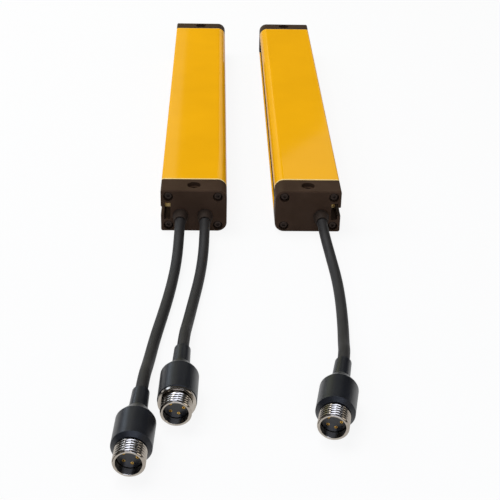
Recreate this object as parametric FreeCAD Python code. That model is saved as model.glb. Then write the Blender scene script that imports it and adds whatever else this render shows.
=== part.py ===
import FreeCAD, Part
import math
import os

# Safety light curtain: a receiver bar and an emitter bar that face each other.
# Millimetres. +Z up, the bars lie along Y with their cable ends towards -Y.
# The receiver lies at -X and the emitter at +X, with their optical windows facing across the gap.
# Origin: middle of the two bars' common box, on the surface they lie on.

Vector = FreeCAD.Vector
os.makedirs("parts", exist_ok=True)

# ---- extruded housing -------------------------------------------------------------------------
bar_depth = 51.0              # from the back, which has the T-slot, to the window side
bar_height = 35.0
profile_length = 365.0
bar_gap = 37.4                # clear space between the two bars
front_corner_radius = 7.4
back_corner_radius = 1.6
profile_edge = 0.45           # bevel round the sawn ends, under the paint
wall = 2.2                    # top and bottom walls of the hollow
slot_mouth = 7.4              # T-slot
slot_lip = 2.5
slot_width = 14.0
slot_depth = 7.5
slot_web = 2.4                # metal between the T-slot and the hollow
corner_block_depth = 11.5     # solid front corners that carry the screw channels
light_opening = 17.0          # height of the opening in front of the window
window_edge = 2.0             # how far the window is held behind each lip
window_lip = 1.2              # lip in front of the window
channel_radius = 1.75         # screw channels
channel_from_back = 5.8
channel_from_front = 7.0
channel_from_side = 5.2
board_rail = 1.5              # rails that hold the circuit board
board_rail_width = 1.2
board_slot_play = 0.2         # between the board and each rail

# ---- window and seal --------------------------------------------------------------------------
window_thickness = 2.6
seal_thickness = 0.5
seal_from_light = 0.1         # how far the seal stays back from the opening's edge
window_play = 0.1             # behind the window
window_side_play = 0.2        # above and below the window

# ---- end caps ---------------------------------------------------------------------------------
gasket_thickness = 0.8
gasket_inset = 0.5
cable_cap_length = 20.2
top_cap_length = 15.2
cap_end_wall = 4.0
cap_side_wall = 4.5
cap_edge = 0.8                # bevel round the outer end of a cap
cap_hollow_radius = 2.0
mount_hole_radius = 2.75      # through hole across each cap, for a bolt
mount_recess_radius = 5.2
mount_recess_depth = 3.0
mount_boss_radius = 4.8

# ---- cap screws -------------------------------------------------------------------------------
screw_radius = 1.7
screw_hole_radius = 2.25
screw_head_radius = 3.6
screw_head_height = 2.5
screw_head_bevel = 1.1
screw_recess_radius = 3.8
screw_recess_depth = 4.2
screw_grip = 12.0             # length held in the housing's channel
screw_tip = 0.8               # taper at the end of the shank
screw_socket_radius = 1.5
screw_socket_depth = 1.4

# ---- electronics and optics -------------------------------------------------------------------
board_thickness = 1.6
board_edge_play = 0.3
board_end_gap = 9.0           # from each end of the housing to the board
beam_pitch = 40.0
optics_end_space = 22.0       # kept free of beams at each end of the housing
optic_radius = 2.5            # emitting or receiving element
optic_height = 5.6
optic_dome_height = 1.8
optic_dome_radius = 1.4       # flat at the top of the dome
optic_play = 0.4              # between an element and its chamber
holder_wall_clearance = 2.0   # from the housing's walls
lens_front_gap = 4.0          # from the lens strip to the solid front corners
lens_strip_thickness = 2.0
lens_side_margin = 0.8        # from each long edge of the holder
lens_radius = 10.0
lens_crown = 3.0
lens_end_margin = 2.0
pipe_radius = 1.5             # light pipes of the state indicators
pipe_pitch = 4.4
pipe_from_board_end = 2.4
pipe_window_gap = 0.3
receiver_pipe_count = 3
emitter_pipe_count = 2
header_length = 9.0           # wire header on the board
header_depth = 7.0
header_height = 5.5
header_floor = 1.2
header_wall = 0.8
header_offset = 8.5           # from the middle of the board, upwards and downwards
header_end_margin = 0.6

# ---- cables and strain reliefs ----------------------------------------------------------------
cable_radius = 3.9
cable_height = 13.5           # of the exits in the cap
outer_cable_from_back = 15.2
inner_cable_from_back = 34.2
cable_play = 0.05
arc_share = 0.45              # share of the shorter run that each bend takes
relief_nose_length = 10.0
relief_nose_radius = 6.0
relief_tip_radius = 4.7
relief_shoulder = 1.5         # straight part of the nose, next to the cap
relief_neck_radius = 4.9
relief_hole_play = 0.1
relief_flange_radius = 5.2
relief_flange_thickness = 1.8

# ---- screw-lock connectors --------------------------------------------------------------------
boot_tail_radius = 5.3        # moulded boot
boot_neck_radius = 5.7
boot_neck_length = 17.5
boot_cone_length = 11.0
boot_body_radius = 12.0
boot_body_length = 25.5
boot_bevel = 2.4
boot_edge = 0.5
boot_shoulder_edge = 0.5      # broken edge between cone and body
boot_cable_depth = 10.0       # how deep the cable sits in the boot
shell_tail_length = 10.0      # metal shell, held in the boot
shell_tail_radius = 8.4
collar_radius = 11.6
collar_length = 2.3
thread_radius = 9.5
thread_length = 12.0          # from the boot to the mouth, collar included
thread_edge = 0.7
shell_bore_radius = 7.6
shell_inner_radius = 6.2
insert_shelf = 2.0            # ring behind the insert
mouth_depth = 5.8             # from the rim to the insert
insert_play = 0.05
insert_edge = 0.4
key_width = 2.4               # key way that locates the mating plug
key_depth = 0.8
contact_count = 5
contact_circle_radius = 4.3
contact_radius = 0.95
contact_well_radius = 0.5
contact_well_depth = 2.5
contact_recess = 0.3
contact_tail = 1.6

past = 1.0                    # how far a cutting solid runs past the face it opens
touching = 1e-6               # two places closer than this are the same

# ---- places that follow from the sizes --------------------------------------------------------
total_length = profile_length + 2 * gasket_thickness + cable_cap_length + top_cap_length
cable_face_y = -total_length / 2
top_face_y = total_length / 2
profile_start_y = cable_face_y + cable_cap_length + gasket_thickness
profile_end_y = profile_start_y + profile_length
profile_middle_y = (profile_start_y + profile_end_y) / 2
back_x = -bar_gap / 2 - bar_depth
front_x = -bar_gap / 2
middle_z = bar_height / 2
hollow_back_x = back_x + slot_depth + slot_web
corner_block_x = front_x - corner_block_depth
groove_front_x = front_x - window_lip
window_front_x = groove_front_x - seal_thickness
window_back_x = window_front_x - window_thickness
groove_back_x = window_back_x - window_play
board_front_x = hollow_back_x + board_thickness
rail_back_x = board_front_x + board_slot_play
rail_front_x = rail_back_x + board_rail_width
board_start_y = profile_start_y + board_end_gap
board_end_y = profile_end_y - board_end_gap
beam_count = int((profile_length - 2 * optics_end_space) / beam_pitch)
optics_length = beam_pitch * beam_count
optics_start_y = profile_middle_y - optics_length / 2
holder_front_x = corner_block_x - lens_front_gap - lens_strip_thickness
holder_depth = holder_front_x - board_front_x
holder_low_z = wall + holder_wall_clearance
holder_high_z = bar_height - holder_low_z
cap_centre_x = back_x + bar_depth / 2
boot_shoulder = boot_neck_length + boot_cone_length
boot_front = boot_shoulder + boot_body_length
shell_start = boot_front - shell_tail_length
insert_start = shell_start + insert_shelf
shell_rim = boot_front + thread_length
insert_front = shell_rim - mouth_depth

# The cables, each from inside its strain relief to the bottom of the bore in its boot.
# The last run lies on the connector's axis, at the height at which the boot's body rests.
# Each point but the first and last is turned by an arc.
receiver_outer_route = [
    (-54.5, -195.0, 13.5), (-54.5, -225.0, 13.5), (-55.4, -257.0, 6.6), (-58.2, -289.0, 3.9),
    (-62.0, -322.0, 3.9), (-66.7, -356.0, 3.9), (-69.4, -386.0, 5.2), (-70.9, -411.0, 12.0),
    (-72.0, -436.0, 12.0),
]
receiver_inner_route = [
    (-35.5, -195.0, 13.5), (-35.5, -222.0, 13.5), (-36.2, -250.0, 6.9), (-38.6, -279.0, 3.9),
    (-42.3, -310.0, 3.9), (-45.7, -340.0, 4.8), (-47.4, -366.0, 12.0), (-48.2, -391.0, 12.0),
]
emitter_route = [
    (54.5, -195.0, 13.5), (54.5, -222.0, 13.5), (57.9, -250.0, 6.9), (60.4, -280.0, 3.9),
    (60.3, -311.0, 3.9), (58.9, -342.0, 4.2), (56.9, -365.0, 6.6), (55.3, -385.0, 12.0),
    (51.64, -404.66, 12.0),
]


def polygon_prism(points, y_start, y_end):
    """Extrude a closed outline of (x, z) points along Y."""
    corners = [Vector(x, y_start, z) for x, z in points]
    wire = Part.makePolygon(corners + [corners[0]])
    return Part.Face(wire).extrude(Vector(0, y_end - y_start, 0))


def block(x_start, x_end, y_start, y_end, z_start, z_end):
    """A plain block between two corners."""
    size = (x_end - x_start, y_end - y_start, z_end - z_start)
    return Part.makeBox(*size, Vector(x_start, y_start, z_start))


def rod_y(x, z, radius, y_start, y_end):
    """A cylinder along Y."""
    return Part.makeCylinder(radius, y_end - y_start, Vector(x, y_start, z), Vector(0, 1, 0))


def rod_z(x, y, radius, z_start, z_end):
    """A cylinder along Z."""
    return Part.makeCylinder(radius, z_end - z_start, Vector(x, y, z_start), Vector(0, 0, 1))


def turned(profile, base, axis):
    """Revolve an outline of (radius, distance) points about an axis that starts at base."""
    corners = [Vector(radius, 0, distance) for radius, distance in profile]
    wire = Part.makePolygon(corners + [corners[0]])
    shape = Part.Face(wire).revolve(Vector(0, 0, 0), Vector(0, 0, 1), 360)
    shape.Placement = FreeCAD.Placement(base, FreeCAD.Rotation(Vector(0, 0, 1), axis))
    return shape


def outline_prism(y_start, y_end, inset=0.0):
    """The bar's outer section: round corners at the window side, nearly sharp ones at the back."""
    left, right = back_x + inset, front_x - inset
    low, high = inset, bar_height - inset
    back_radius = back_corner_radius - inset / 2
    front_radius = front_corner_radius - inset

    def corner(centre_x, centre_z, radius, start_angle):
        angles = [math.radians(start_angle + step) for step in (0, 45, 90)]
        points = [
            Vector(centre_x + radius * math.cos(a), y_start, centre_z + radius * math.sin(a))
            for a in angles
        ]
        return Part.Arc(*points).toShape()

    arcs = [
        corner(right - front_radius, high - front_radius, front_radius, 0),
        corner(left + back_radius, high - back_radius, back_radius, 90),
        corner(left + back_radius, low + back_radius, back_radius, 180),
        corner(right - front_radius, low + front_radius, front_radius, 270),
    ]
    edges = []
    for arc, next_arc in zip(arcs, arcs[1:] + arcs[:1]):
        arc_end = arc.valueAt(arc.LastParameter)
        next_start = next_arc.valueAt(next_arc.FirstParameter)
        edges += [arc, Part.makeLine(arc_end, next_start)]
    return Part.Face(Part.Wire(edges)).extrude(Vector(0, y_end - y_start, 0))


def beveled(prism, end_y, size):
    """Break the edges round one end of a prism that lies along Y."""
    def at_end(edge):
        return all(abs(vertex.Y - end_y) < touching for vertex in edge.Vertexes)

    return prism.makeChamfer(size, [edge for edge in prism.Edges if at_end(edge)])


def slot_prism(y_start, y_end):
    """The T-slot along the back, to be cut away."""
    mouth_low, mouth_high = middle_z - slot_mouth / 2, middle_z + slot_mouth / 2
    wide_low, wide_high = middle_z - slot_width / 2, middle_z + slot_width / 2
    lip_x, floor_x, outside_x = back_x + slot_lip, back_x + slot_depth, back_x - past
    points = [
        (outside_x, mouth_low), (lip_x, mouth_low), (lip_x, wide_low), (floor_x, wide_low),
        (floor_x, wide_high), (lip_x, wide_high), (lip_x, mouth_high), (outside_x, mouth_high),
    ]
    return polygon_prism(points, y_start, y_end)


def channel_places():
    """Centres of the four screw channels, as (x, z)."""
    columns = (back_x + channel_from_back, front_x - channel_from_front)
    rows = (channel_from_side, bar_height - channel_from_side)
    return [(x, z) for x in columns for z in rows]


def housing():
    """Yellow powder-coated extrusion: T-slot, hollow with board rails, window groove, channels."""
    ends = (profile_start_y, profile_end_y)
    cut_ends = (profile_start_y - past, profile_end_y + past)
    low, high = wall, bar_height - wall
    rail_low, rail_high = low + board_rail, high - board_rail
    light_low, light_high = middle_z - light_opening / 2, middle_z + light_opening / 2
    outside_x = front_x + past
    hollow = polygon_prism([
        (hollow_back_x, low), (rail_back_x, low), (rail_back_x, rail_low), (rail_front_x, rail_low),
        (rail_front_x, low), (corner_block_x, low), (corner_block_x, light_low),
        (outside_x, light_low), (outside_x, light_high), (corner_block_x, light_high),
        (corner_block_x, high), (rail_front_x, high), (rail_front_x, rail_high),
        (rail_back_x, rail_high), (rail_back_x, high), (hollow_back_x, high),
    ], *cut_ends)
    groove_low, groove_high = light_low - window_edge, light_high + window_edge
    groove = block(groove_back_x, groove_front_x, *cut_ends, groove_low, groove_high)
    channels = [rod_y(x, z, channel_radius, *cut_ends) for x, z in channel_places()]
    bar = outline_prism(*ends)
    for end_y in ends:
        bar = beveled(bar, end_y, profile_edge)
    return bar.cut([slot_prism(*cut_ends), hollow, groove] + channels)


def window():
    """Dark infrared-passing strip, slid into the groove behind the two lips."""
    half = light_opening / 2 + window_edge - window_side_play
    span = (window_back_x, window_front_x, profile_start_y, profile_end_y)
    return block(*span, middle_z - half, middle_z + half)


def window_seals():
    """Two rubber strips between the window and the lips."""
    inner = light_opening / 2 + seal_from_light
    outer = light_opening / 2 + window_edge - window_side_play
    span = (window_front_x, groove_front_x, profile_start_y, profile_end_y)
    upper = block(*span, middle_z + inner, middle_z + outer)
    lower = block(*span, middle_z - outer, middle_z - inner)
    return Part.makeCompound([lower, upper])


def cap_hollow(y_start, y_end):
    """Space inside a cap, with rounded edges along the bar."""
    low, high = cap_side_wall, bar_height - cap_side_wall
    space = block(hollow_back_x, corner_block_x, y_start, y_end, low, high)
    along = [edge for edge in space.Edges if edge.BoundBox.YLength > y_end - y_start - touching]
    return space.makeFillet(cap_hollow_radius, along)


def cap(outer_y, inner_y, exits):
    """Moulded cap from its end face at outer_y to the gasket at inner_y, T-slot running through."""
    inward = 1 if inner_y > outer_y else -1
    low_y, high_y = min(outer_y, inner_y), max(outer_y, inner_y)
    ends = (low_y - past, high_y + past)
    outside_y = outer_y - inward * past
    wall_y = outer_y + inward * cap_end_wall
    recess_y = outer_y + inward * screw_recess_depth
    hole_y = (outer_y + inner_y) / 2
    body = beveled(outline_prism(low_y, high_y), outer_y, cap_edge)
    body = body.cut([slot_prism(*ends), cap_hollow(*sorted((wall_y, inner_y + inward * past)))])
    boss_low, boss_high = cap_side_wall - past, bar_height - cap_side_wall + past
    upper_recess_z = bar_height - mount_recess_depth
    boss = rod_z(cap_centre_x, hole_y, mount_boss_radius, boss_low, boss_high)
    cuts = [
        rod_z(cap_centre_x, hole_y, mount_hole_radius, -past, bar_height + past),
        rod_z(cap_centre_x, hole_y, mount_recess_radius, -past, mount_recess_depth),
        rod_z(cap_centre_x, hole_y, mount_recess_radius, upper_recess_z, bar_height + past),
    ]
    for x, z in channel_places():
        cuts.append(rod_y(x, z, screw_hole_radius, *ends))
        cuts.append(rod_y(x, z, screw_recess_radius, *sorted((outside_y, recess_y))))
    for x in exits:
        through = sorted((outside_y, wall_y + inward * past))
        cuts.append(rod_y(x, cable_height, relief_neck_radius + relief_hole_play, *through))
    return body.fuse(boss).cut(cuts).removeSplitter()


def gasket(y_start, y_end):
    """Rubber plate between a cap and the housing, open at the hollow, the T-slot and the screws."""
    plate = outline_prism(y_start, y_end, gasket_inset)
    ends = (y_start - past, y_end + past)
    holes = [rod_y(x, z, screw_hole_radius, *ends) for x, z in channel_places()]
    return plate.cut([slot_prism(*ends), cap_hollow(*ends)] + holes)


def cap_screws(outer_y, inner_y):
    """Four pan-head screws with hexagon sockets, from a cap into the housing's channels."""
    inward = 1 if inner_y > outer_y else -1
    seat_y = outer_y + inward * screw_recess_depth
    head_y = seat_y - inward * screw_head_height
    shank = abs(inner_y - seat_y) + gasket_thickness + screw_grip
    profile = [
        (0, -screw_head_height), (screw_head_radius - screw_head_bevel, -screw_head_height),
        (screw_head_radius, screw_head_bevel - screw_head_height), (screw_head_radius, 0),
        (screw_radius, 0), (screw_radius, shank - screw_tip), (screw_radius - screw_tip, shank),
        (0, shank),
    ]
    turns = [math.radians(60 * step) for step in range(6)]
    corners = [(screw_socket_radius * math.cos(a), screw_socket_radius * math.sin(a)) for a in turns]
    screws = []
    for x, z in channel_places():
        screw = turned(profile, Vector(x, seat_y, z), Vector(0, inward, 0))
        hexagon = [(x + corner_x, z + corner_z) for corner_x, corner_z in corners]
        socket_floor_y = head_y + inward * screw_socket_depth
        socket = polygon_prism(hexagon, head_y - inward * past, socket_floor_y)
        screws.append(screw.cut(socket))
    return Part.makeCompound(screws)


def circuit_board():
    """Printed circuit board, upright between the rails at the back of the hollow."""
    low, high = wall + board_edge_play, bar_height - wall - board_edge_play
    return block(hollow_back_x, board_front_x, board_start_y, board_end_y, low, high)


def beam_places():
    """Places of the beams along the bar."""
    return [optics_start_y + beam_pitch * (index + 0.5) for index in range(beam_count)]


def optics_holder():
    """Black bar with one flared chamber for each beam, from the element to its lens."""
    span = (board_front_x, holder_front_x, optics_start_y, optics_start_y + optics_length)
    bar = block(*span, holder_low_z, holder_high_z)
    chamber = (optic_radius + optic_play, lens_radius, holder_depth)
    throats = [Vector(board_front_x, y, middle_z) for y in beam_places()]
    return bar.cut([Part.makeCone(*chamber, throat, Vector(1, 0, 0)) for throat in throats])


def lens_strip():
    """Clear strip with a plano-convex lens over each chamber."""
    crown_x = holder_front_x + lens_strip_thickness
    start = optics_start_y + lens_end_margin
    end = optics_start_y + optics_length - lens_end_margin
    low, high = holder_low_z + lens_side_margin, holder_high_z - lens_side_margin
    base = block(holder_front_x, crown_x, start, end, low, high)
    ball_radius = (lens_radius ** 2 + lens_crown ** 2) / (2 * lens_crown)
    root = lens_strip_thickness / 2
    lenses = []
    for y in beam_places():
        ball = Part.makeSphere(ball_radius, Vector(crown_x + lens_crown - ball_radius, y, middle_z))
        foot = Vector(crown_x - root, y, middle_z)
        core = Part.makeCylinder(lens_radius, root + lens_crown, foot, Vector(1, 0, 0))
        lenses.append(ball.common(core))
    return base.fuse(lenses)


def optic_elements():
    """One domed infrared element for each beam, soldered to the board."""
    profile = [
        (0, 0), (optic_radius, 0), (optic_radius, optic_height - optic_dome_height),
        (optic_dome_radius, optic_height), (0, optic_height),
    ]
    places = [Vector(board_front_x, y, middle_z) for y in beam_places()]
    return Part.makeCompound([turned(profile, place, Vector(1, 0, 0)) for place in places])


def light_pipes(count):
    """Rods that carry the state indicators' light from the board to the window."""
    first = board_start_y + pipe_from_board_end
    length = window_back_x - pipe_window_gap - board_front_x
    pipes = []
    for index in range(count):
        foot = Vector(board_front_x, first + pipe_pitch * index, middle_z)
        pipes.append(Part.makeCylinder(pipe_radius, length, foot, Vector(1, 0, 0)))
    return Part.makeCompound(pipes)


def wire_header(sides):
    """Open-topped header on the board for each cable's wires."""
    start = board_start_y + header_end_margin
    end = start + header_length
    headers = []
    for side in sides:
        z = middle_z + side * header_offset
        low, high = z - header_height / 2, z + header_height / 2
        outer = block(board_front_x, board_front_x + header_depth, start, end, low, high)
        pocket = block(board_front_x + header_floor, board_front_x + header_depth + past,
                       start + header_wall, end - header_wall, low + header_wall, high - header_wall)
        headers.append(outer.cut(pocket))
    return Part.makeCompound(headers)


def strain_relief(x):
    """Rubber bush in a cap's end wall, with a tapered nose outside and a flange inside."""
    bore = cable_radius + cable_play
    flange_end = cap_end_wall + relief_flange_thickness
    profile = [
        (bore, -relief_nose_length), (relief_tip_radius, -relief_nose_length),
        (relief_nose_radius, -relief_shoulder), (relief_nose_radius, 0), (relief_neck_radius, 0),
        (relief_neck_radius, cap_end_wall), (relief_flange_radius, cap_end_wall),
        (relief_flange_radius, flange_end), (bore, flange_end),
    ]
    return turned(profile, Vector(x, cable_face_y, cable_height), Vector(0, 1, 0))


def cable(name, route):
    """Round cable along straight runs joined by tangent arcs."""
    points = [Vector(*place) for place in route]
    edges = []
    start = points[0]
    length = 0.0
    radii = []
    for before, corner, after in zip(points, points[1:], points[2:]):
        run_in, run_out = corner - before, after - corner
        turn = run_in.getAngle(run_out)
        reach = arc_share * min(run_in.Length, run_out.Length)
        radius = reach / math.tan(turn / 2)
        way_in, way_out = run_in.normalize(), run_out.normalize()
        arc_start, arc_end = corner - way_in * reach, corner + way_out * reach
        to_centre = (way_out - way_in).normalize()
        centre = corner + to_centre * (radius / math.cos(turn / 2))
        edges.append(Part.makeLine(start, arc_start))
        edges.append(Part.Arc(arc_start, centre - to_centre * radius, arc_end).toShape())
        length += (arc_start - start).Length + radius * turn
        radii.append(radius)
        start = arc_end
    edges.append(Part.makeLine(start, points[-1]))
    length += (points[-1] - start).Length
    path = Part.Wire(edges)
    section = Part.Wire(Part.makeCircle(cable_radius, points[0], points[1] - points[0]))
    tube = path.makePipeShell([section], True, True)
    expected = math.pi * cable_radius ** 2 * length
    print(name, "length", round(length, 1), "radii", [round(r) for r in radii],
          "volume/expected", round(tube.Volume / expected, 4))
    return tube


def connector_boot(tail, axis, collar):
    """Moulded boot: a neck for the cable, a cone, and a body that grips the shell."""
    bore = cable_radius + cable_play
    bevel = boot_edge if collar else boot_bevel
    return turned([
        (bore, 0), (boot_tail_radius - boot_edge, 0), (boot_tail_radius, boot_edge),
        (boot_neck_radius, boot_neck_length),
        (boot_body_radius - boot_shoulder_edge, boot_shoulder - boot_shoulder_edge),
        (boot_body_radius, boot_shoulder + boot_shoulder_edge), (boot_body_radius, boot_front - bevel),
        (boot_body_radius - bevel, boot_front), (shell_tail_radius, boot_front),
        (shell_tail_radius, shell_start), (0, shell_start), (0, boot_cable_depth),
        (bore, boot_cable_depth),
    ], tail, axis)


def connector_shell(tail, axis, collar):
    """Plated shell at its thread's outside size, with a key way in its bore."""
    collar_end = boot_front + collar_length
    thread_foot = [(thread_radius, boot_front)]
    if collar:
        thread_foot = [
            (collar_radius, boot_front), (collar_radius, collar_end), (thread_radius, collar_end),
        ]
    shell = turned([
        (shell_inner_radius, shell_start), (shell_tail_radius, shell_start),
        (shell_tail_radius, boot_front), *thread_foot, (thread_radius, shell_rim - thread_edge),
        (thread_radius - thread_edge, shell_rim), (shell_bore_radius, shell_rim),
        (shell_bore_radius, insert_start), (shell_inner_radius, insert_start),
    ], tail, axis)
    corner = Vector(-key_width / 2, shell_bore_radius - key_depth, insert_front)
    key_way = Part.makeBox(key_width, key_depth * 2, mouth_depth + past, corner)
    key_way.Placement = shell.Placement.multiply(key_way.Placement)
    return shell.cut(key_way)


def contact_feet(tail, axis):
    """Where each contact starts, inside the boot's end of the insert."""
    side = axis.cross(Vector(0, 0, 1)).normalize()
    up = side.cross(axis)
    centre = tail + axis * (insert_start - contact_tail)
    turns = [2 * math.pi * (index + 0.5) / contact_count for index in range(contact_count)]
    return [centre + (side * math.cos(a) + up * math.sin(a)) * contact_circle_radius for a in turns]


def connector_insert(tail, axis):
    """Insulator that fills the shell behind its mouth, bored for the contacts."""
    radius = shell_bore_radius - insert_play
    body = turned([
        (0, insert_start), (radius, insert_start), (radius, insert_front - insert_edge),
        (radius - insert_edge, insert_front), (0, insert_front),
    ], tail, axis)
    length = insert_front - insert_start + contact_tail + past
    bore = contact_radius + insert_play
    return body.cut([Part.makeCylinder(bore, length, foot, axis) for foot in contact_feet(tail, axis)])


def connector_contacts(tail, axis):
    """Turned contacts with a well each for the mating pin."""
    length = insert_front - contact_recess - insert_start + contact_tail
    contacts = []
    for foot in contact_feet(tail, axis):
        pin = Part.makeCylinder(contact_radius, length, foot, axis)
        well_floor = foot + axis * (length - contact_well_depth)
        well = Part.makeCylinder(contact_well_radius, contact_well_depth + past, well_floor, axis)
        contacts.append(pin.cut(well))
    return Part.makeCompound(contacts)


def bar_parts(pipe_count, exits, header_sides):
    """All fixed pieces of one bar, in the receiver's place."""
    return {
        "housing": housing(),
        "window": window(),
        "window_seals": window_seals(),
        "cable_cap": cap(cable_face_y, cable_face_y + cable_cap_length, exits),
        "top_cap": cap(top_face_y, top_face_y - top_cap_length, []),
        "cable_cap_gasket": gasket(profile_start_y - gasket_thickness, profile_start_y),
        "top_cap_gasket": gasket(profile_end_y, profile_end_y + gasket_thickness),
        "cable_cap_screws": cap_screws(cable_face_y, cable_face_y + cable_cap_length),
        "top_cap_screws": cap_screws(top_face_y, top_face_y - top_cap_length),
        "circuit_board": circuit_board(),
        "optics_holder": optics_holder(),
        "lens_strip": lens_strip(),
        "light_pipes": light_pipes(pipe_count),
        "wire_header": wire_header(header_sides),
    }


def mirrored(shape):
    """The same piece on the other bar."""
    return shape.mirror(Vector(0, 0, 0), Vector(1, 0, 0))


outer_exit_x = back_x + outer_cable_from_back
inner_exit_x = back_x + inner_cable_from_back
nodes = {}
for piece, shape in bar_parts(receiver_pipe_count, [outer_exit_x, inner_exit_x], (-1, 1)).items():
    nodes["receiver_" + piece] = shape
nodes["receiver_photodiodes"] = optic_elements()
for piece, shape in bar_parts(emitter_pipe_count, [outer_exit_x], (-1,)).items():
    nodes["emitter_" + piece] = mirrored(shape)
nodes["emitter_diodes"] = mirrored(optic_elements())

leads = {
    "receiver_output": (receiver_outer_route, outer_exit_x, False),
    "receiver_link": (receiver_inner_route, inner_exit_x, True),
    "emitter": (emitter_route, -outer_exit_x, False),
}
for lead, (route, exit_x, collar) in leads.items():
    axis = (Vector(*route[-1]) - Vector(*route[-2])).normalize()
    tail = Vector(*route[-1]) - axis * boot_cable_depth
    nodes[lead + "_strain_relief"] = strain_relief(exit_x)
    nodes[lead + "_cable"] = cable(lead, route)
    nodes[lead + "_connector_boot"] = connector_boot(tail, axis, collar)
    nodes[lead + "_connector_shell"] = connector_shell(tail, axis, collar)
    nodes[lead + "_connector_insert"] = connector_insert(tail, axis)
    nodes[lead + "_connector_contacts"] = connector_contacts(tail, axis)

for node, shape in nodes.items():
    shape.exportStep("parts/" + node + ".step")
print(len(nodes), "nodes")
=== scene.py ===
# %% [markdown]
# # A safety light curtain: receiver and emitter
# Two slim yellow bars guard a machine: one sends a row of infrared beams and the other receives
# them. Every rigid piece comes from the CAD frame at its true size. This script gives each one its
# finish, and adds what drawing software does better: bent cables and cut screw threads.
# Lengths are in metres, Z is up, and the cable ends point towards -Y.

import math

import bmesh
import bpy
from mathutils import Matrix, Vector


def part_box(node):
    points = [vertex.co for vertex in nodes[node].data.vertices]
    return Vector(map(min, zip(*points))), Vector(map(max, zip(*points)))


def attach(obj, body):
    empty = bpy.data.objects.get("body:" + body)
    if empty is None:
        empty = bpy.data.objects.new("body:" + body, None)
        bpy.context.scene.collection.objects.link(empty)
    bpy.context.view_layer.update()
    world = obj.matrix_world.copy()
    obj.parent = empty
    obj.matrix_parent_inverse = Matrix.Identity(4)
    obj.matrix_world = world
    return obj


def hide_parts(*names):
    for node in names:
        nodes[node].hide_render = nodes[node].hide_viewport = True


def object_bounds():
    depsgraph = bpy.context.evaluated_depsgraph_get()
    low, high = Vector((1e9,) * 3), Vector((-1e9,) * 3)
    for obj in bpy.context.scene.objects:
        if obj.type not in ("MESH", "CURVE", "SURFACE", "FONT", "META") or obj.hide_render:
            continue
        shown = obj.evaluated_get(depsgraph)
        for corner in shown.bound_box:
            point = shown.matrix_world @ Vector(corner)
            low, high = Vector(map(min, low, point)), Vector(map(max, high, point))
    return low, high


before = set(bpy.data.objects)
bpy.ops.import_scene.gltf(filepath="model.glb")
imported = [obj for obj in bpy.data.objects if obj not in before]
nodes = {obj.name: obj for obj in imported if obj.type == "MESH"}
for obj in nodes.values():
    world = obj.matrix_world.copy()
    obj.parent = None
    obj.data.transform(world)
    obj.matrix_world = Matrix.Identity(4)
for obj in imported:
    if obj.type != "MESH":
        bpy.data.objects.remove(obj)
cad_low, cad_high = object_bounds()
MM = 0.001
reach_mm = [round((b - a) / MM, 1) for a, b in zip(cad_low, cad_high)]
print("loaded", len(nodes), "pieces, together", reach_mm, "mm")

# %% [markdown]
# ## Camera
# The set lies on a table and is seen from the cable ends, from an arm's length away and about
# 40 cm above it. A longer lens than the eye's keeps the bars nearly parallel. The position is
# measured from the middle of the bars' front faces, so that it follows the frame. A camera could
# be made to track a target, but then it can't lean. It looks along its own -Z, so three turns
# place it: roll about the lens, then tilt, then heading.

# %% Camera
LENS_MM = 81.5
SENSOR_MM = 36.0
EYE_FROM_FACES = Vector((-27.3, -776.4, 423.0)) * MM
heading, tilt, roll = math.radians(2.01), math.radians(29.51), math.radians(1.34)

camera_data = bpy.data.cameras.new("camera")
camera_data.lens = LENS_MM
camera_data.sensor_width = SENSOR_MM
camera = bpy.data.objects.new("camera", camera_data)
bpy.context.scene.collection.objects.link(camera)
bar_face_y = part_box("receiver_cable_cap")[0].y
eye = Vector((0, bar_face_y, 0)) + EYE_FROM_FACES
headed = Matrix.Rotation(-heading, 4, "Z")
tilted = Matrix.Rotation(math.pi / 2 - tilt, 4, "X")
rolled = Matrix.Rotation(roll, 4, "Z")
camera.matrix_world = Matrix.Translation(eye) @ headed @ tilted @ rolled
bpy.context.scene.camera = camera
print("camera at", [round(v, 3) for v in camera.location])

# %% [markdown]
# ## Cables
# A cable is a smooth tube. It could be modelled as a mesh, but a curve with a round section
# stays smooth and can be laid anew by moving a point. The curve is a NURBS line: its control
# points pull it like magnets, and it rounds every corner by itself. Each cable leaves the cap
# level, sinks under its own weight, lies on the table in a loose bend, and rises into the boot
# of its connector, which rests on its fat body.

# %% Where the cables run
cable_routes = {        # in millimetres, from the cap to inside the boot
    "receiver_output": [
        (-54.5, -195.0, 13.5), (-54.5, -225.0, 13.5), (-55.4, -257.0, 6.6), (-58.2, -289.0, 3.9),
        (-62.0, -322.0, 3.9), (-66.7, -356.0, 3.9), (-69.4, -386.0, 5.2), (-70.9, -411.0, 12.0),
        (-72.0, -436.0, 12.0),
    ],
    "receiver_link": [
        (-35.5, -195.0, 13.5), (-35.5, -222.0, 13.5), (-36.2, -250.0, 6.9), (-38.6, -279.0, 3.9),
        (-42.3, -310.0, 3.9), (-45.7, -340.0, 4.8), (-47.4, -366.0, 12.0), (-48.2, -391.0, 12.0),
    ],
    "emitter": [
        (54.5, -195.0, 13.5), (54.5, -222.0, 13.5), (57.9, -250.0, 6.9), (60.4, -280.0, 3.9),
        (60.3, -311.0, 3.9), (58.9, -342.0, 4.2), (56.9, -365.0, 6.6), (55.3, -385.0, 12.0),
        (51.64, -404.66, 12.0),
    ],
}
for lead, route in cable_routes.items():
    print(lead, "cable follows", len(route), "control points")

# %% [markdown]
# ## Draw the cables
# The tube's radius is the curve's bevel times each point's own radius. The size is given to the
# points, because Blender's box around a curve reaches out by the points' radius.

# %% Draw the cables
CABLE_DIAMETER = 7.8 * MM


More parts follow.
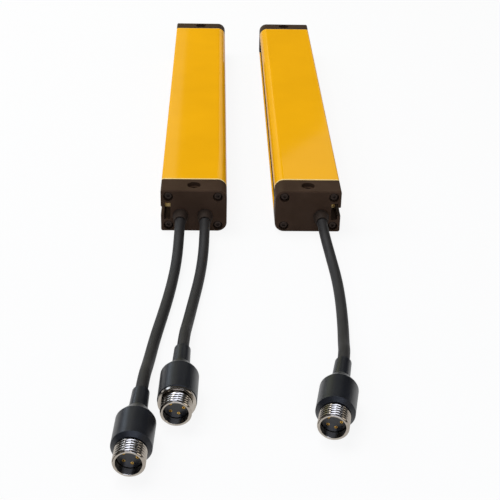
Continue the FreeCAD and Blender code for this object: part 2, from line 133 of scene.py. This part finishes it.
def cable_curve(name, route):
    """A round cable on one smooth line through the pull of its control points."""
    curve = bpy.data.curves.new(name, "CURVE")
    curve.dimensions = "3D"
    curve.bevel_depth = 1.0
    curve.bevel_resolution = 7
    curve.resolution_u = 16
    curve.use_fill_caps = True
    spline = curve.splines.new("NURBS")
    spline.points.add(len(route) - 1)
    for point, place in zip(spline.points, route):
        point.co = (*(Vector(place) * MM), 1.0)
        point.radius = CABLE_DIAMETER / 2
    spline.order_u = 3
    spline.use_endpoint_u = True
    piece = bpy.data.objects.new(name, curve)
    bpy.context.scene.collection.objects.link(piece)
    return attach(piece, "root")


cables = {}
for lead, route in cable_routes.items():
    cables[lead] = cable_curve(lead + "_lead", route)
    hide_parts(lead + "_cable")
    straight_mm = (Vector(route[-1]) - Vector(route[0])).length
    print(cables[lead].name, "spans", round(straight_mm), "mm from end to end")

# %% [markdown]
# ## Colours and shader nodes
# Paint and plastic chips are matched as sRGB hex values, but the renderer adds light in linear
# values, so one function converts them. A finish could be wired by hand in the shader editor.
# Here one small function adds a node with its settings and links, so that a finish can be read
# from top to bottom, and one more joins two sockets where both nodes are already there.

# %% Colours and shader nodes
def linear(hex_colour):
    """An sRGB colour such as F0A800, as the linear RGBA that shaders use."""
    parts = [int(hex_colour[i:i + 2], 16) / 255 for i in (0, 2, 4)]
    return tuple(v / 12.92 if v <= 0.04045 else ((v + 0.055) / 1.055) ** 2.4 for v in parts) + (1.0,)


def add_node(owner, kind, values=None, links=None, **settings):
    """Add a node: settings are its own, values fill its inputs, and links feed its inputs."""
    node = owner.node_tree.nodes.new(kind)
    for name, value in settings.items():
        setattr(node, name, value)
    for socket, value in (values or {}).items():
        node.inputs[socket].default_value = value
    for socket, source in (links or {}).items():
        owner.node_tree.links.new(source, node.inputs[socket])
    return node


def join(owner, source, target):
    """Join an output to an input."""
    owner.node_tree.links.new(source, target)


print("the grey 808080 is", round(linear("808080")[0], 3), "in linear light")

# %% [markdown]
# ## Start a material
# Every material starts from Blender's one shader for surfaces, which can be metal, plastic or
# glass. What is the same all over a piece, such as how strongly it bends light, is set straight
# on the shader's own sockets, because an exported model keeps only those.

# %% Start a material
def plain_skin(name, **constants):
    """A material and its shader. Underscores in the names of the constants stand for spaces."""
    material = bpy.data.materials.new(name)
    material.use_nodes = True
    shader = material.node_tree.nodes["Principled BSDF"]
    for socket, value in constants.items():
        shader.inputs[socket.replace("_", " ")].default_value = value
    return material, shader


paper, paper_shader = plain_skin("white_paper_sweep", Base_Color=linear("E8E8E8"), Roughness=0.9)
print(paper.name, "has a roughness of", round(paper_shader.inputs["Roughness"].default_value, 2))

# %% [markdown]
# ## A skin that drifts
# No real surface has one colour and one gloss all over. Dye, heat and handling let both drift in
# soft patches, and most skins have a fine grain too. Pictures could carry this, but noise has no
# seams and is sharp from any distance. So one function makes a skin from sizes in millimetres:
# patches of colour, patches of gloss, and a grain that only tilts the light. Where an edge is
# given, the light also rounds the corners, as no moulded or sprayed edge is knife sharp.

# %% A skin that drifts
NOISE_FALLOFF = 0.55                                            # strength of each finer wave
MIX_SHARE, MIX_FIRST, MIX_SECOND, MIX_RESULT = 0, 6, 7, 2       # colour sockets of a Mix node


def drifting_skin(name, rough, patches, colours=None, drift=(0.3, 0.7), gloss_patches=None,
                  grain=None, depth_mm=0.0, edge_mm=0.0, **constants):
    """A material between two colours and two roughnesses, with its constants on the shader.

    patches, gloss_patches and grain are noises: their size in millimetres and their detail.
    """
    material, shader = plain_skin(name, **constants)
    place = add_node(material, "ShaderNodeTexCoord").outputs["Object"]
    noise = {}
    for part, pattern in (("colour", patches), ("gloss", gloss_patches or patches), ("grain", grain)):
        if pattern:
            values = {"Scale": 1 / (pattern[0] * MM), "Detail": pattern[1], "Roughness": NOISE_FALLOFF}
            node = add_node(material, "ShaderNodeTexNoise", values, {"Vector": place})
            noise[part] = node.outputs["Fac"]
    if colours:
        share = add_node(material, "ShaderNodeMapRange", {"From Min": drift[0], "From Max": drift[1]},
                         {"Value": noise["colour"]})
        ends = {MIX_FIRST: linear(colours[0]), MIX_SECOND: linear(colours[1])}
        colour = add_node(material, "ShaderNodeMix", ends, {MIX_SHARE: share.outputs["Result"]},
                          data_type="RGBA")
        join(material, colour.outputs[MIX_RESULT], shader.inputs["Base Color"])
    gloss = add_node(material, "ShaderNodeMapRange", {"To Min": rough[0], "To Max": rough[1]},
                     {"Value": noise["gloss"]})
    join(material, gloss.outputs["Result"], shader.inputs["Roughness"])
    if grain:
        links = {"Height": noise["grain"]}
        if edge_mm:
            rounded = add_node(material, "ShaderNodeBevel", {"Radius": edge_mm * MM}, samples=4)
            links["Normal"] = rounded.outputs["Normal"]
        bump = add_node(material, "ShaderNodeBump", {"Strength": 1.0, "Distance": depth_mm * MM}, links)
        join(material, bump.outputs["Normal"], shader.inputs["Normal"])
    print(name, "has", len(material.node_tree.nodes), "nodes")
    return material


print("patches of 10 mm need a noise scale of", round(1 / (10 * MM)), "to the metre")

# %% [markdown]
# ## Powder-coated aluminium
# The bars are extruded aluminium sprayed with polyester powder and baked. The powder melts
# and flows but never lies quite flat, which leaves the "orange peel" of a few millimetres
# between waves. It is an insulating coat over metal, so to the eye it is a plain glossy plastic.
# Its skin is smoother than its body, so a thin clear coat carries all its reflections. The peel
# could be pushed into the mesh, but it is a hundredth of a millimetre high and shows only in
# what the paint mirrors, so it just tilts the light.

# %% Powder-coated aluminium
PEEL_MM = 2.2
powder = drifting_skin("polyester_powder_coat_yellow", rough=(0.38, 0.48), patches=(60.0, 2.0),
                       colours=("EEAB0A", "F5B10C"), gloss_patches=(9.0, 4.0),
                       grain=(PEEL_MM, 2.0), depth_mm=0.008, edge_mm=0.35,
                       IOR=1.5, Specular_IOR_Level=0.0, Coat_Weight=0.35, Coat_Roughness=0.07)

# %% [markdown]
# ## Where the powder thins out, and a painted highlight at the ends
# The spray hardly reaches into the T-slot, so bare metal shows there. Along the sawn ends a pale
# band is a painted highlight, which stands for the glint on the edge of the film. Both places
# could be cut out as faces of their own.
# They are told by the distance from the bar's outer side, middle height and ends instead, so
# the CAD mesh stays whole. Both bars share the pattern, because the slots face outwards.

# %% Bare metal in the slot, and a painted highlight at the ends
SLOT_LIP_MM, SLOT_FLOOR_MM = 0.1, 7.6       # below the bar's outer side, to just behind the floor
SLOT_HALF_WIDTH_MM = 7.1                    # a little past the slot's inner walls
# The pale band along each sawn end is a painted highlight, this wide.
END_HIGHLIGHT_MM = 0.9
housing_low, housing_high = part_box("receiver_housing")
housing_middle = (housing_low + housing_high) / 2
outer_side = -housing_low.x
slot_middle = outer_side - (SLOT_LIP_MM + SLOT_FLOOR_MM) / 2 * MM
slot_reach = (SLOT_FLOOR_MM - SLOT_LIP_MM) / 2 * MM
highlight_start = (housing_high.y - housing_low.y) / 2 - END_HIGHLIGHT_MM * MM

place = add_node(powder, "ShaderNodeTexCoord").outputs["Object"]
axes = add_node(powder, "ShaderNodeSeparateXYZ", links={"Vector": place})
outward = add_node(powder, "ShaderNodeMath", links={0: axes.outputs["X"]}, operation="ABSOLUTE")
slot_deep = add_node(powder, "ShaderNodeMath", {1: slot_middle, 2: slot_reach},
                     {0: outward.outputs[0]}, operation="COMPARE")
slot_wide = add_node(powder, "ShaderNodeMath", {1: housing_middle.z, 2: SLOT_HALF_WIDTH_MM * MM},
                     {0: axes.outputs["Z"]}, operation="COMPARE")
bare = add_node(powder, "ShaderNodeMath", links={0: slot_deep.outputs[0], 1: slot_wide.outputs[0]},
                operation="MULTIPLY")
end_highlight_mask = add_node(powder, "ShaderNodeMath", {1: housing_middle.y, 2: highlight_start},
                   {0: axes.outputs["Y"]}, operation="COMPARE")
print("slot from", round(slot_middle - slot_reach, 4), "to", round(slot_middle + slot_reach, 4), "m")

# %% [markdown]
# ## Lay the painted highlight and the bare metal over the film
# A mask is 1 where its place is and 0 elsewhere, so it can serve as the share in a mix. The film's
# colour goes in first, then the pale painted highlight at the ends, then the bare metal over both.
# The bare metal is half metallic, since a little overspray dusts it.

# %% Lay the painted highlight and the bare metal over the film
BARE_METALLIC = 0.5
powder_shader = powder.node_tree.nodes["Principled BSDF"]
film = powder_shader.inputs["Base Color"].links[0].from_socket
# FFDC8C is the painted highlight along the sawn ends.
film_with_highlight = add_node(powder, "ShaderNodeMix", {MIX_FIRST: linear("FFDC8C")},
                  {MIX_SHARE: end_highlight_mask.outputs[0], MIX_SECOND: film}, data_type="RGBA")
skin = add_node(powder, "ShaderNodeMix", {MIX_SECOND: linear("E0D0A8")},
                {MIX_SHARE: bare.outputs[0], MIX_FIRST: film_with_highlight.outputs[MIX_RESULT]}, data_type="RGBA")
metal = add_node(powder, "ShaderNodeMath", {1: BARE_METALLIC}, {0: bare.outputs[0]}, operation="MULTIPLY")
join(powder, skin.outputs[MIX_RESULT], powder_shader.inputs["Base Color"])
join(powder, metal.outputs[0], powder_shader.inputs["Metallic"])
print(powder.name, "now has", len(powder.node_tree.nodes), "nodes")

# %% [markdown]
# ## Moulded nylon
# The end caps are glass-filled nylon, moulded in a steel tool that was spark-eroded to a fine
# matt grain. The glass makes the black a warm, slightly grey one with a broad soft sheen. The
# grain is thousands of shallow dimples, too many to model, so it is a bump in the light too.

# %% Moulded nylon
GRAIN_MM = 0.55         # coarser than the real 0.1 mm, which would be too fine to show
nylon = drifting_skin("glass_filled_nylon_moulded", rough=(0.48, 0.60), patches=(14.0, 3.0),
                      colours=("39291D", "423125"), gloss_patches=(5.0, 4.0),
                      grain=(GRAIN_MM, 3.0), depth_mm=0.015, edge_mm=0.3,
                      IOR=1.52, Specular_IOR_Level=0.06)

# %% [markdown]
# ## Rubber and elastomer
# Gaskets and window seals are moulded EPDM rubber. It is matt, because carbon black and a slight
# bloom scatter what little it reflects. The strain reliefs are a softer moulded elastomer, dyed
# to match the caps. A velvety sheen could tell rubber too, but these edges are thin, and a dark
# colour with a high roughness is enough.

# %% Rubber and elastomer
BLOOM_GRAIN_MM = 0.7            # coarser than real, to show
rubber = drifting_skin("epdm_rubber_moulded", rough=(0.55, 0.72), patches=(6.0, 3.0),
                       colours=("181615", "201D1B"), gloss_patches=(3.0, 3.0),
                       grain=(BLOOM_GRAIN_MM, 2.0), depth_mm=0.02, IOR=1.5, Specular_IOR_Level=0.35)
elastomer = drifting_skin("thermoplastic_elastomer_moulded", rough=(0.55, 0.70), patches=(5.0, 3.0),
                          colours=("2A211B", "322821"), IOR=1.5, Specular_IOR_Level=0.15)

# %% [markdown]
# ## Acrylic
# The window is cast acrylic dyed to pass infrared and stop daylight: a dark red brown. It
# could be made see-through, but to the eye nothing shows behind it, so it is a solid colour. Its
# skin is hardened and scatters glancing light, so only a thin coat shines. Lenses and light
# pipes are the clear grade, which lets light through and has one colour all over.

# %% Acrylic
dark_acrylic = drifting_skin("infrared_acrylic_hard_coated", rough=(0.32, 0.40), patches=(40.0, 2.0),
                             colours=("3C1A08", "48200A"), gloss_patches=(12.0, 4.0),
                             IOR=1.49, Specular_IOR_Level=0.0, Coat_Weight=0.12, Coat_Roughness=0.2)
clear_acrylic = drifting_skin("clear_acrylic_moulded", rough=(0.03, 0.08), patches=(8.0, 2.0),
                              IOR=1.49, Transmission_Weight=0.85, Base_Color=linear("EEF3F5"))

# %% [markdown]
# ## Cable jacket and boots
# The jacket is soft PVC squeezed round the wires, satin and faintly uneven along its length.
# The boots are a harder PVC moulded over the joint in a smoother tool, so they show a narrower
# highlight, and their black leans towards blue. Both are the same plastic at heart, so what they
# share is listed once, and each adds its own colour, gloss and grain.

# %% Cable jacket and boots
JACKET_GRAIN_MM, BOOT_GRAIN_MM = 1.1, 0.8       # both a few times coarser than real, to show
soft_pvc = {"patches": (18.0, 3.0), "gloss_patches": (7.0, 3.0), "depth_mm": 0.02,
            "IOR": 1.53, "Specular_IOR_Level": 0.35}
jacket = drifting_skin("pvc_jacket_extruded", rough=(0.55, 0.66), colours=("1D1B1A", "242221"),
                       grain=(JACKET_GRAIN_MM, 3.0), **soft_pvc)
boot_pvc = drifting_skin("pvc_boot_overmoulded", rough=(0.33, 0.40), colours=("101217", "17191F"),
                         grain=(BOOT_GRAIN_MM, 3.0), **soft_pvc)

# %% [markdown]
# ## Nickel-plated brass
# The connector shells are turned from brass bar and nickel plated. Nickel is a slightly warm
# silver. The lathe and the bath leave a very shallow grain, and handling leaves soft smudges, so
# the roughness varies. In the thread's groove the plating is dull, and its darker colour there is
# painted shade. The two could be mixed in one material, but as two they can be given to faces of
# the mesh.

# %% Nickel-plated brass
TOOL_MARK_MM = 0.3              # coarser than the real 0.05 mm, to show
nickel = drifting_skin("nickel_plated_brass_turned", rough=(0.20, 0.12), patches=(6.0, 3.0),
                       colours=("968D83", "B6AFA5"), drift=(0.25, 0.75),
                       grain=(TOOL_MARK_MM, 2.0), depth_mm=0.002, Metallic=1.0)
# The groove's nickel is rougher, and its darker colour is painted shade.
dull_shaded_nickel = drifting_skin("nickel_groove_painted_shade", rough=(0.40, 0.50), patches=(1.5, 3.0),
                            colours=("4A433B", "5E564C"), Metallic=1.0)

# %% [markdown]
# ## Screws, contacts and insulators
# Screws are steel with a black oxide skin, which is matt and hardly metallic. Contacts are brass
# with a gold flash, and the insulator that holds them is glossy moulded PBT. They are a few
# millimetres across, so patches of colour and gloss are enough, and no grain is drawn.

# %% Screws, contacts and insulators
black_steel = drifting_skin("black_oxide_steel", rough=(0.50, 0.65), patches=(1.5, 3.0),
                            colours=("33271F", "3E3128"), Metallic=0.2, Specular_IOR_Level=0.2)
gold_flash = drifting_skin("gold_flashed_brass", rough=(0.22, 0.32), patches=(1.0, 3.0),
                           colours=("C79A4A", "DDB25E"), Metallic=1.0)
pbt = drifting_skin("pbt_insulator_moulded", rough=(0.25, 0.35), patches=(2.0, 3.0),
                    colours=("141416", "1C1C1F"), IOR=1.55)

# %% [markdown]
# ## Parts inside the bars
# The board is glass fibre under green solder resist. Its optical elements are cast in an epoxy
# that looks nearly black but passes infrared. The black ABS holder stops stray light between the
# beams, and the wire headers are undyed nylon. All this shows only when a bar is opened, so
# simple finishes of the right colour and gloss do.

# %% Parts inside the bars
solder_resist = drifting_skin("solder_resist_on_glass_fibre", rough=(0.22, 0.30), patches=(10.0, 3.0),
                              colours=("0E4A2A", "146138"), IOR=1.5)
black_abs = drifting_skin("black_abs_moulded", rough=(0.50, 0.60), patches=(6.0, 3.0),
                          colours=("161617", "1E1E20"), IOR=1.54)
dark_epoxy = drifting_skin("infrared_epoxy_cast", rough=(0.08, 0.12), patches=(2.0, 3.0),
                           colours=("150D1F", "1E1430"), IOR=1.55)
nylon_natural = drifting_skin("natural_nylon_moulded", rough=(0.40, 0.50), patches=(4.0, 3.0),
                              colours=("DAD5C4", "E4E0D2"), IOR=1.53)

# %% [markdown]
# ## Give each CAD piece its finish
# A piece's name ends with what it is, so the finishes are listed once and found for both bars
# and all three leads. Where two endings fit, the longer one says more and is taken.

# %% Give each CAD piece its finish
finishes = {
    "housing": powder, "window": dark_acrylic, "window_seals": rubber,
    "cable_cap": nylon, "top_cap": nylon, "cap_gasket": rubber, "cap_screws": black_steel,
    "circuit_board": solder_resist, "optics_holder": black_abs, "lens_strip": clear_acrylic,
    "light_pipes": clear_acrylic, "wire_header": nylon_natural,
    "diodes": dark_epoxy, "photodiodes": dark_epoxy,
    "strain_relief": elastomer, "cable": jacket, "connector_boot": boot_pvc,
    "connector_shell": nickel, "connector_insert": pbt, "connector_contacts": gold_flash,
}
for name, piece in nodes.items():
    ending = max((end for end in finishes if name.endswith(end)), key=len)
    piece.data.materials.clear()
    piece.data.materials.append(finishes[ending])
for cable in cables.values():
    cable.data.materials.append(jacket)
print("finished", len(nodes), "pieces and", len(cables), "cables")

# %% [markdown]
# ## Threaded shells
# The mouth of each connector is a brass tube with a cut thread outside. A thread is one ridge
# that winds round and climbs by its pitch at each turn. It could be a ridge swept along a helix
# and joined to the tube, but such joins leave slivers. A grid of points is cleaner: columns go
# round the tube, rows go along it, and a point's radius depends on how far along the winding it
# lies.

# %% The thread
THREAD_PITCH = 2.1 * MM        # coarser than the real 1 mm, so that the turns can be seen
THREAD_DEPTH = 0.95 * MM       # deeper than the real one by as much
THREAD_RADIUS = 9.5 * MM
ROOT_RADIUS = THREAD_RADIUS - THREAD_DEPTH
ROOT_SHARE, FLANK_SHARE = 0.10, 0.55        # of half a turn; the crest takes the rest


def thread_radius(along, angle):
    """Radius of the ridge at a distance from the boot and an angle round the axis."""
    phase = (along / THREAD_PITCH - angle / (2 * math.pi)) % 1.0
    ridge = 1 - abs(2 * phase - 1)                       # a triangle wave, 1 at the crest
    crest = min(1.0, max(0.0, (ridge - ROOT_SHARE) / FLANK_SHARE))
    return THREAD_RADIUS - THREAD_DEPTH * (1 - crest)


print("the thread runs between", round(ROOT_RADIUS / MM, 2), "and", round(THREAD_RADIUS / MM, 2), "mm")

# %% [markdown]
# ## Rings along a shell
# A shell starts at the boot, with a collar on one of the three leads, then a narrow relief groove
# where the cutting tool starts, the thread, a bevelled rim and the bore. Each ring is a
# distance from the boot and a radius. Short steps at the corners keep them crisp but not sharp.

# %% Rings along a shell
SHELL_LENGTH = 12.0 * MM
BORE_RADIUS = 7.6 * MM
MOUTH_DEPTH = 5.8 * MM          # from the rim to the face of the insert
BORE_OVERLAP = 1.0 * MM         # the bore runs on behind that face
COLLAR_RADIUS = 11.6 * MM
COLLAR_LENGTH = 2.3 * MM
COLLAR_EDGE = 0.25 * MM
RELIEF_DEPTH = 0.1 * MM         # below the thread's root
RELIEF_LENGTH = 0.6 * MM
THREAD_START = 0.8 * MM         # past the relief, where the first turn begins
RIM_BEVEL = 0.7 * MM
RIM_STEP = 0.1 * MM             # the bevel ends this far before the rim
RIM_EDGE = 0.15 * MM
ROWS_PER_PITCH = 8


def shell_rows(collar):
    """Rings from the boot over the rim and into the bore: (distance, radius or None for thread)."""
    start = COLLAR_LENGTH if collar else 0.0
    relief = ROOT_RADIUS - RELIEF_DEPTH
    rows = [(0.0, BORE_RADIUS)]
    if collar:
        rows += [(0.0, COLLAR_RADIUS - COLLAR_EDGE), (COLLAR_EDGE, COLLAR_RADIUS)]
        rows += [(start - COLLAR_EDGE, COLLAR_RADIUS), (start, COLLAR_RADIUS - COLLAR_EDGE)]
    else:
        rows += [(0.0, ROOT_RADIUS)]
    rows += [(start, relief), (start + RELIEF_LENGTH, relief)]
    first, last = start + THREAD_START, SHELL_LENGTH - RIM_BEVEL
    count = round((last - first) / THREAD_PITCH * ROWS_PER_PITCH)
    rows += [(first + (last - first) * index / count, None) for index in range(count + 1)]
    rim_radius = THREAD_RADIUS - RIM_BEVEL
    rows += [(SHELL_LENGTH - RIM_STEP, rim_radius), (SHELL_LENGTH, rim_radius - RIM_EDGE)]
    rows += [(SHELL_LENGTH, BORE_RADIUS + RIM_EDGE), (SHELL_LENGTH - RIM_EDGE, BORE_RADIUS)]
    rows += [(SHELL_LENGTH - MOUTH_DEPTH - BORE_OVERLAP, BORE_RADIUS)]
    return rows


print("a plain shell has", len(shell_rows(False)), "rings, one with a collar", len(shell_rows(True)))

# %% [markdown]
# ## The dull groove and its painted shade
# The bottom of a thread's groove is hard to polish, so it gets the dull plating, painted darker as shade.
# A mask in the material could find it, but the mesh has whole faces there, so a face is asked
# by its middle whether it lies low enough.

# %% The dull groove and its painted shade
GROOVE_SHARE = 0.55             # of the thread's depth, from its crest down
WALL_MARGIN = 0.4 * MM          # keeps the bore itself out of the groove


def in_groove(point):
    """Whether a point of the shell lies in the lower part of the thread's groove."""
    radius = math.hypot(point.x, point.y)
    low_enough = radius < THREAD_RADIUS - THREAD_DEPTH * GROOVE_SHARE
    return BORE_RADIUS + WALL_MARGIN < radius and low_enough and point.z < SHELL_LENGTH - RIM_BEVEL


root_point = Vector((ROOT_RADIUS, 0, SHELL_LENGTH / 2))
print("a point at the thread's root lies in the groove:", in_groove(root_point))

# %% [markdown]
# ## The shell's mesh
# Neighbouring rings are joined by four-sided faces, column by column. Faces are shaded smooth, and
# only edges that turn by more than 30 degrees stay sharp, such as those of the rim and the collar.

# %% The shell's mesh
COLUMNS = 96
SHARP_ANGLE = math.radians(30)


def shell_mesh(name, collar):
    """The mesh of a shell, standing on its boot end along Z."""
    grid = bmesh.new()
    rings = []
    for along, radius in shell_rows(collar):
        ring = []
        for column in range(COLUMNS):
            angle = 2 * math.pi * column / COLUMNS
            reach = thread_radius(along, angle) if radius is None else radius
            ring.append(grid.verts.new((reach * math.cos(angle), reach * math.sin(angle), along)))
        rings.append(ring)
    for ring, following in zip(rings, rings[1:]):
        for column in range(COLUMNS):
            beside = (column + 1) % COLUMNS
            grid.faces.new((ring[column], ring[beside], following[beside], following[column]))
    mesh = bpy.data.meshes.new(name)
    grid.to_mesh(mesh)
    grid.free()
    # The second material is the dull nickel with painted shade, for the groove's faces.
    mesh.materials.append(nickel)
    mesh.materials.append(dull_shaded_nickel)
    for face in mesh.polygons:
        face.use_smooth = True
        face.material_index = 1 if in_groove(face.center) else 0
    mesh.set_sharp_from_angle(angle=SHARP_ANGLE)
    return mesh


shell_meshes = {}
for lead in cable_routes:
    shell_meshes[lead] = shell_mesh(lead + "_threaded_shell", collar=lead == "receiver_link")
    print(shell_meshes[lead].name, "has", len(shell_meshes[lead].polygons), "faces")

# %% [markdown]
# ## Put the shells on
# A shell sits on the axis of its cable's last stretch, which is the boot's axis too. So it is
# turned from Z onto that direction and moved to the boot's front, and it stands in for the plain
# shell of the CAD model.

# %% Put the shells on
CABLE_TO_SHELL = 44.0 * MM     # from the cable's end, inside the boot, to the boot's front
for lead, route in cable_routes.items():
    before, tip = (Vector(place) * MM for place in route[-2:])
    axis = (tip - before).normalized()
    boot_front = tip + axis * CABLE_TO_SHELL
    onto_axis = axis.to_track_quat("Z", "Y").to_matrix().to_4x4()
    shell = bpy.data.objects.new(lead + "_threaded_shell", shell_meshes[lead])
    bpy.context.scene.collection.objects.link(shell)
    shell.matrix_world = Matrix.Translation(boot_front) @ onto_axis
    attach(shell, "root")
    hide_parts(lead + "_connector_shell")
    print(shell.name, "starts at", [round(v, 3) for v in boot_front])

# %% [markdown]
# Each cable stays a free curve of its own, as thick as the real one, and runs from the cap to
# inside the boot.

# %% [markdown]
# ## Floor
# The set lies on a plain white sheet. One large square will do: it reaches so far that its edge
# stays out of sight in low views too.

# %% Floor
FLOOR_HALF = 20.0
FLOOR_DROP = 0.2 * MM           # just below the pieces that rest on it
floor_mesh = bpy.data.meshes.new("floor")
corners = [(x * FLOOR_HALF, y * FLOOR_HALF, 0) for x, y in ((-1, -1), (1, -1), (1, 1), (-1, 1))]
floor_mesh.from_pydata(corners, [], [(0, 1, 2, 3)])
floor = bpy.data.objects.new("floor", floor_mesh)
bpy.context.scene.collection.objects.link(floor)
floor.location.z = -FLOOR_DROP
floor_mesh.materials.append(paper)
print("floor of", 2 * FLOOR_HALF, "m a side at", round(floor.location.z / MM, 2), "mm")

# %% [markdown]
# ## White paper
# A real white floor needs so much light that the bars would be washed out. So nine tenths of what
# the camera, reflections and clear parts see of the sheet is a plain white glow, and the rest is
# lit paper, which takes the set's shadow. All other rays meet the paper alone, so the sheet
# throws no more light on the bars than paper does.

# %% White paper
GLOW_SHARE = 0.9
ray = add_node(paper, "ShaderNodeLightPath")
seen = add_node(paper, "ShaderNodeMath", operation="MAXIMUM",
                links={0: ray.outputs["Is Camera Ray"], 1: ray.outputs["Is Glossy Ray"]})
seen_or_through = add_node(paper, "ShaderNodeMath", operation="MAXIMUM",
                           links={0: seen.outputs[0], 1: ray.outputs["Is Transmission Ray"]})
share = add_node(paper, "ShaderNodeMath", {1: GLOW_SHARE}, {0: seen_or_through.outputs[0]},
                 operation="MULTIPLY")
glow = add_node(paper, "ShaderNodeEmission", {"Color": linear("FFFFFF"), "Strength": 1.0})
sheet = add_node(paper, "ShaderNodeMixShader",
                 links={0: share.outputs[0], 1: paper_shader.outputs[0], 2: glow.outputs[0]})
join(paper, sheet.outputs[0], paper.node_tree.nodes["Material Output"].inputs["Surface"])
print(paper.name, "has", len(paper.node_tree.nodes), "nodes")

# %% [markdown]
# ## Soft lamps
# The light is that of a plain room: a large soft source overhead and weaker windows at the left,
# in front and at the right. Area lamps give such light, because the edge of a shadow is as
# soft as the lamp is large.

# %% Soft lamps
LAMP_TARGET = (0, -0.15, 0)     # between the bars and the connectors


def soft_lamp(name, place, size, power, colour="FFFFFF", target=LAMP_TARGET, turn=None, spread=180):
    """A flat lamp that faces its target, or straight down where a turn about the vertical is given."""
    data = bpy.data.lights.new(name, "AREA")
    data.shape = "RECTANGLE"
    data.size, data.size_y = size
    data.energy = power
    data.spread = math.radians(spread)
    data.color = linear(colour)[:3]
    lamp = bpy.data.objects.new(name, data)
    bpy.context.scene.collection.objects.link(lamp)
    lamp.location = place
    if turn is None:
        lamp.rotation_euler = (Vector(target) - Vector(place)).to_track_quat("-Z", "Y").to_euler()
    else:
        lamp.rotation_euler = (0, 0, math.radians(turn))
    print(name, "gives", round(power, 2), "W")
    return lamp


soft_lamp("overhead", (-0.5, 0.2, 1.9), (1.2, 1.2), 27.5)
soft_lamp("left_window", (-1.5, 0.0, 1.2), (0.8, 0.8), 8, "F4F8FF")
soft_lamp("blue_sky_strip", (-1.1, 1.2, 0.9), (0.35, 0.9), 3.5, "DCEBFF")
soft_lamp("front_window", (0, -2.0, 1.1), (1.6, 0.9), 17, "D8E4FF")
soft_lamp("right_fill", (1.6, -1.1, 0.9), (0.9, 0.9), 4, "FFF6EA")

# %% [markdown]
# ## Panels to mirror
# Glossy paint is told by what it mirrors. Dim panels hang behind the bars, where the view from
# the front is mirrored to, and draw the paler bands along the bars' tops and rounded edges.
# A panel's power is worked out from how bright it should look, so its size can be changed
# alone. Two hang level and face down, and two stand upright like a back wall.

# %% Panels to mirror
def panel(name, place, size, brightness, colour, **facing):
    """A dim panel, which lights little but is mirrored in the clear coat of the bars."""
    power = brightness * math.pi * size[0] * size[1]
    return soft_lamp(name, place, size, power, colour, **facing)


panel("panel_over_receiver", (-0.454, 1.525, 0.635), (0.693, 1.15), 1.7, "FAFCD0", turn=0, spread=150)
panel("panel_over_emitter", (0.368, 1.182, 0.635), (0.4, 0.7), 0.6, "F8FFF8", turn=-33.9)
panel("back_wall_left", (-0.73, 2.2, 0.5), (1.14, 1.0), 0.58, "FCF8A0", target=(-0.73, 0, 0.5))
panel("back_wall_right", (0.65, 2.2, 0.65), (0.7, 0.7), 0.9, "FAFCE8", target=(0.65, 0, 0.65))

# %% [markdown]
# ## The room
# Behind and above everything is the room, which sends a faint even light from all sides. Seen
# straight or through clear parts it looks as white as the floor, so that low views have no dark
# horizon. It stays dim in reflections: a white sky mirrored in the paint would wash out its colour.

# %% The room
ROOM_STRENGTH = 0.06
world = bpy.data.worlds.new("studio")
bpy.context.scene.world = world
world.use_nodes = True
room = world.node_tree.nodes["Background"]
room.inputs["Color"].default_value = linear("FFFFFF")
room.inputs["Strength"].default_value = ROOM_STRENGTH
behind = add_node(world, "ShaderNodeBackground", {"Color": linear("FFFFFF"), "Strength": 1.0})
ray = add_node(world, "ShaderNodeLightPath")
straight = add_node(world, "ShaderNodeMath", operation="MAXIMUM",
                    links={0: ray.outputs["Is Camera Ray"], 1: ray.outputs["Is Transmission Ray"]})
around = add_node(world, "ShaderNodeMixShader",
                  links={0: straight.outputs[0], 1: room.outputs[0], 2: behind.outputs[0]})
join(world, around.outputs[0], world.node_tree.nodes["World Output"].inputs["Surface"])
bpy.context.scene.view_settings.view_transform = "Standard"
print("room light", ROOM_STRENGTH, "and view transform", bpy.context.scene.view_settings.view_transform)

# %% Update the scene
bpy.context.view_layer.update()
